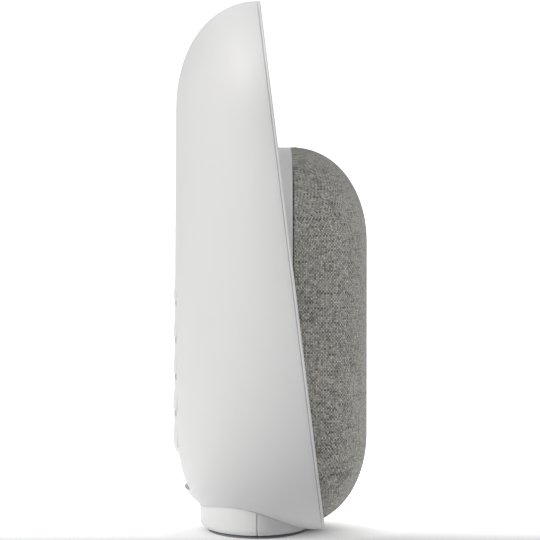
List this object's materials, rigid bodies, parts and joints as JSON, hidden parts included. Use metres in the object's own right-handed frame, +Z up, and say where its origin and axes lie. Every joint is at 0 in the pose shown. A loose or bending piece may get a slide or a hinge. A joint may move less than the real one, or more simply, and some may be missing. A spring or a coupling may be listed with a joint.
{
  "type": "smart display",
  "caption": "Table-top smart display: leaning white shell on an oval foot, arched touch display above a fabric-covered loudspeaker pod.",
  "frame": {"origin": "on the table, under the middle of the object's bounding box", "axes": "+X to the right seen from the front, +Y towards the back, +Z up; the display and the pod face -Y"},
  "size_m": [0.16, 0.075, 0.2049],
  "materials": {
    "shell_white": "fine satin moulded white",
    "grille_cloth": "plain-woven grey heather cloth",
    "black_plastic": "matt black moulding",
    "cover_glass": "black-backed cover glass",
    "pad_rubber": "dark grey elastomer",
    "plated_steel": "nickel-plated",
    "sink_aluminium": "plain extruded",
    "magnet_ferrite": "dark sintered ferrite",
    "coil_copper": "enamelled copper",
    "cone_pulp": "dark pressed paper pulp",
    "circuit_board": "green solder mask",
    "light_diffuser": "milky diffuser"
  },
  "bodies": {
    "housing": {"amplifier_inductor": "magnet_ferrite", "antenna_left": "circuit_board", "antenna_right": "circuit_board", "baffle": "black_plastic", "ballast_plate": "plated_steel", "board_screw_1": "plated_steel", "board_screw_2": "plated_steel", "board_screw_3": "plated_steel", "board_screw_4": "plated_steel", "connector_plate": "black_plastic", "display_driver_board": "circuit_board", "display_glass": "cover_glass", "display_panel": "black_plastic", "display_ribbon": "coil_copper", "display_tray": "plated_steel", "foot_front": "shell_white", "foot_pad": "pad_rubber", "foot_rear": "shell_white", "foot_screw_1": "plated_steel", "foot_screw_2": "plated_steel", "front_panel": "shell_white", "grille_fabric": "grille_cloth", "grille_frame": "black_plastic", "heat_sink": "sink_aluminium", "lead_grommet": "pad_rubber", "light_bar": "light_diffuser", "light_bar_board": "circuit_board", "main_board": "circuit_board", "microphone_board_left": "circuit_board", "microphone_board_right": "circuit_board", "mute_switch": "black_plastic", "power_jack": "black_plastic", "processor_shield": "plated_steel", "radio_shield": "plated_steel", "rear_shell": "shell_white", "service_port": "plated_steel", "speaker_box": "black_plastic", "speaker_lead": "black_plastic", "sync_switch": "black_plastic", "tweeter_dome": "grille_cloth", "tweeter_housing": "black_plastic", "volume_switch_board": "circuit_board", "woofer_basket": "black_plastic", "woofer_gasket": "pad_rubber", "woofer_magnet": "magnet_ferrite", "woofer_screw_1": "plated_steel", "woofer_screw_2": "plated_steel", "woofer_screw_3": "plated_steel", "woofer_screw_4": "plated_steel", "woofer_spider": "grille_cloth", "woofer_surround": "pad_rubber", "woofer_top_plate": "plated_steel", "woofer_yoke": "plated_steel"},
    "woofer_diaphragm": {"woofer_cone": "cone_pulp", "woofer_dust_cap": "cone_pulp", "woofer_voice_coil": "coil_copper"},
    "volume_rocker": {"volume_rocker": "shell_white"},
    "mute_slider": {"mute_slider": "black_plastic"},
    "sync_button": {"sync_button": "black_plastic"}
  },
  "joints": [
    {"name": "woofer_travel", "type": "slide", "parent": "housing", "child": "woofer_diaphragm", "axis": [0, 1, 0], "range_m": [-0.0025, 0.0025], "stiffness_N_per_m": 1500},
    {"name": "volume_rock", "type": "hinge", "parent": "housing", "child": "volume_rocker", "pos_m": [0.0726, 0.004, 0.125], "axis": [0, 1, 0], "range_deg": [-2.5, 2.5], "stiffness_Nm_per_rad": 0.25},
    {"name": "mute_slide", "type": "slide", "parent": "housing", "child": "mute_slider", "axis": [1, 0, 0], "range_m": [0, 0.004]},
    {"name": "sync_press", "type": "slide", "parent": "housing", "child": "sync_button", "axis": [0, -1, 0], "range_m": [0, 0.0008], "stiffness_N_per_m": 400, "springref_m": -0.0005}
  ]
}
